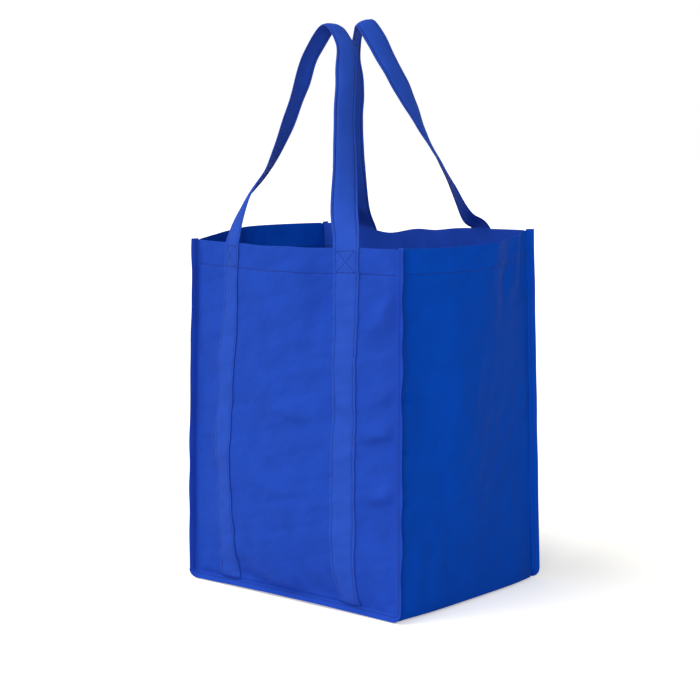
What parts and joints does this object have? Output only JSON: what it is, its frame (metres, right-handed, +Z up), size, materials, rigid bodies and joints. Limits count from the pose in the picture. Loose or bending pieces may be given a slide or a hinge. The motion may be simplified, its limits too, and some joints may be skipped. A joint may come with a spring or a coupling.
{
  "type": "shopping bag",
  "caption": "Open box-shaped cloth shopping bag with side gussets, sewn corner fins, a hemmed rim and long strap handles.",
  "frame": {"origin": "on the floor, under the middle of the bag", "axes": "+Z up, -Y out of the front panel, +X to the right of someone who faces the front panel"},
  "size_m": [0.3818, 0.2992, 0.6558],
  "materials": {
    "front_panel": "matte non-woven cloth",
    "back_panel": "matte non-woven cloth",
    "gusset": "matte non-woven cloth",
    "front_handle": "matte non-woven strap",
    "back_handle": "matte non-woven strap"
  },
  "bodies": {
    "root": {"front_panel": "front_panel", "back_panel": "back_panel", "gusset": "gusset", "front_handle": "front_handle", "back_handle": "back_handle"}
  },
  "joints": []
}
